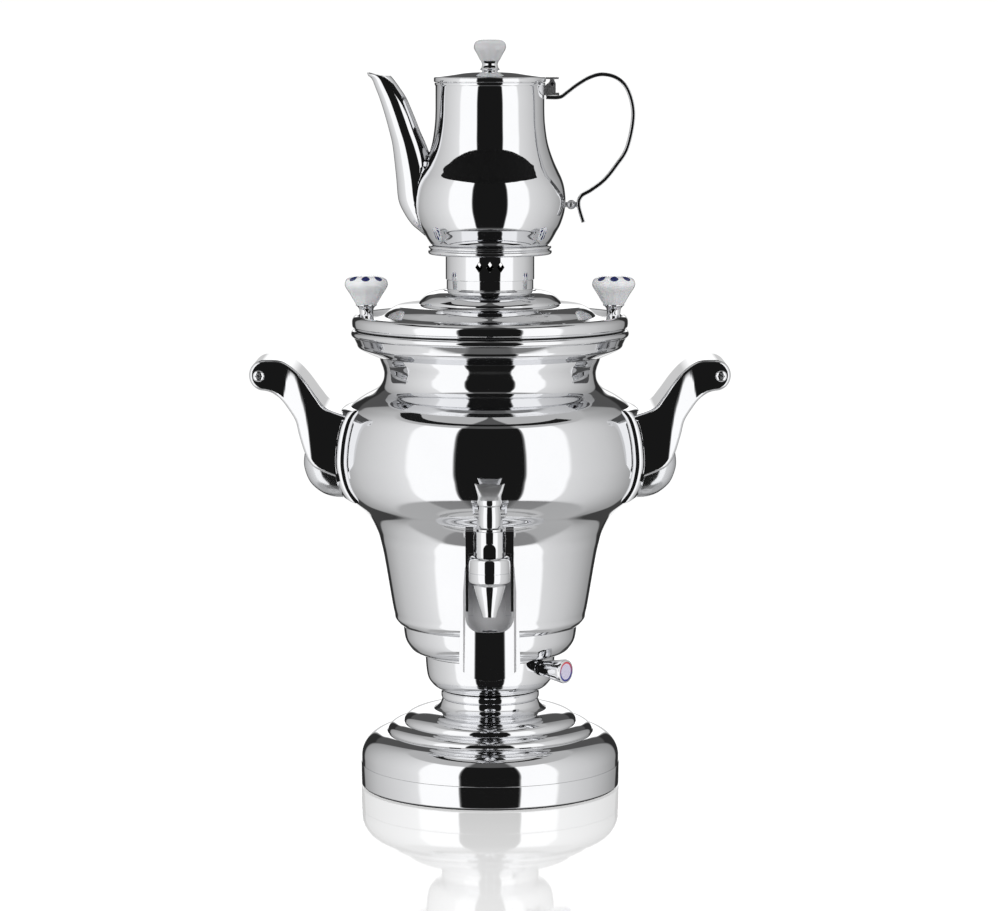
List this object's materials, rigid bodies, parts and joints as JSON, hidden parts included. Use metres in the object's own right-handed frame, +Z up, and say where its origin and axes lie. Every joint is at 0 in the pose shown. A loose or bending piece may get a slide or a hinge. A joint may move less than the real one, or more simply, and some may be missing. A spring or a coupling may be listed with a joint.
{
  "type": "electric samovar",
  "caption": "Polished electric samovar on a stepped round base, with strap side handles, a paddle tap, a thermostat knob and a small spouted teapot standing on its crown.",
  "frame": {"origin": "centre of the base on the table plane, on the vessel's upright axis", "axes": "+Z up along the vessel's axis, -Y towards the tap, +X towards the right-hand side handle and the teapot's handle, -X towards the teapot's spout"},
  "size_m": [0.306, 0.219, 0.481],
  "materials": {
    "bright_steel": "mirror polished stainless steel",
    "inner_steel": "plain sheet and bar, satin",
    "saddle_steel": "satin pressed steel",
    "black_insulator": "moulded heat-resistant plastic",
    "black_rubber": "matt silicone rubber",
    "white_ceramic": "clear glaze over white, blue petals on the two lid knobs",
    "cream_plastic": "moulded terminal block",
    "dial_print": "pale printed disc with a red to blue ring"
  },
  "bodies": {
    "base_and_vessel": {"rubber_foot": "black_rubber", "bottom_cover": "inner_steel", "base_ring": "bright_steel", "base_shell": "bright_steel", "base_fixings": "inner_steel", "cord_gland": "black_rubber", "terminal_block": "cream_plastic", "tie_rod": "inner_steel", "waist_collar": "bright_steel", "lower_cup": "bright_steel", "support_cup": "bright_steel", "thermostat_body": "inner_steel", "thermostat_seal": "black_rubber", "vessel": "bright_steel", "vessel_shoulder": "bright_steel", "vessel_floor": "inner_steel", "top_collar": "bright_steel", "heating_element": "inner_steel", "element_glands": "black_rubber", "thermal_cutout": "inner_steel", "left_handle": "bright_steel", "right_handle": "bright_steel", "handle_grips": "black_insulator", "handle_saddles": "saddle_steel", "left_flange": "bright_steel", "right_flange": "bright_steel", "grip_screws": "bright_steel", "saddle_screws": "bright_steel", "tap_shank": "bright_steel", "tap_washer": "bright_steel", "tap_nut": "bright_steel", "tap_body": "bright_steel", "tap_bonnet": "bright_steel", "tap_nozzle": "bright_steel", "paddle_pins": "bright_steel"},
    "lid": {"lid_shell": "bright_steel", "lid_boss": "bright_steel", "lid_gasket": "black_rubber", "lid_stub": "bright_steel", "lid_stems": "bright_steel", "lid_knobs": "white_ceramic"},
    "crown": {"crown_sleeve": "bright_steel", "crown_dish": "bright_steel"},
    "teapot": {"teapot_body": "bright_steel", "teapot_spout": "bright_steel", "teapot_handle": "bright_steel", "handle_post": "bright_steel", "hinge_bracket": "bright_steel", "hinge_pin": "bright_steel"},
    "teapot_lid": {"teapot_lid": "bright_steel", "thumb_piece": "bright_steel", "pot_knob_stem": "bright_steel", "pot_knob": "white_ceramic"},
    "paddle": {"tap_paddle": "bright_steel"},
    "plunger": {"valve_plunger": "inner_steel", "valve_seal": "black_rubber"},
    "key": {"tap_key": "bright_steel"},
    "dial": {"thermostat_knob": "bright_steel", "dial_disc": "dial_print", "thermostat_spindle": "inner_steel"}
  },
  "joints": [
    {"name": "lid_lift", "type": "slide", "parent": "base_and_vessel", "child": "lid", "axis": [0, 0, 1], "range_m": [0, 0.12]},
    {"name": "crown_lift", "type": "slide", "parent": "lid", "child": "crown", "axis": [0, 0, 1], "range_m": [0, 0.06]},
    {"name": "teapot_lift", "type": "slide", "parent": "crown", "child": "teapot", "axis": [0, 0, 1], "range_m": [0, 0.1]},
    {"name": "teapot_lid_hinge", "type": "hinge", "parent": "teapot", "child": "teapot_lid", "pos_m": [0.0396, 0, 0.4526], "axis": [0, 1, 0], "range_deg": [0, 95]},
    {"name": "paddle_press", "type": "hinge", "parent": "base_and_vessel", "child": "paddle", "pos_m": [0, -0.108, 0.1788], "axis": [1, 0, 0], "range_deg": [0, 12], "stiffness_Nm_per_rad": 0.5, "springref_deg": -8.59},
    {"name": "plunger_slide", "type": "slide", "parent": "base_and_vessel", "child": "plunger", "axis": [0, 0, 1], "range_m": [-0.0025, 0]},
    {"name": "key_turn", "type": "hinge", "parent": "base_and_vessel", "child": "key", "pos_m": [0, -0.108, 0.1913], "axis": [0, 0, 1], "range_deg": [0, 90]},
    {"name": "dial_turn", "type": "hinge", "parent": "base_and_vessel", "child": "dial", "pos_m": [0.0394, -0.0308, 0.0804], "axis": [0.788, -0.6157, 0], "range_deg": [0, 270]}
  ],
  "couplings": [
    {"joint": "plunger_slide", "follows": "paddle_press", "m_per_rad": -0.0119}
  ]
}
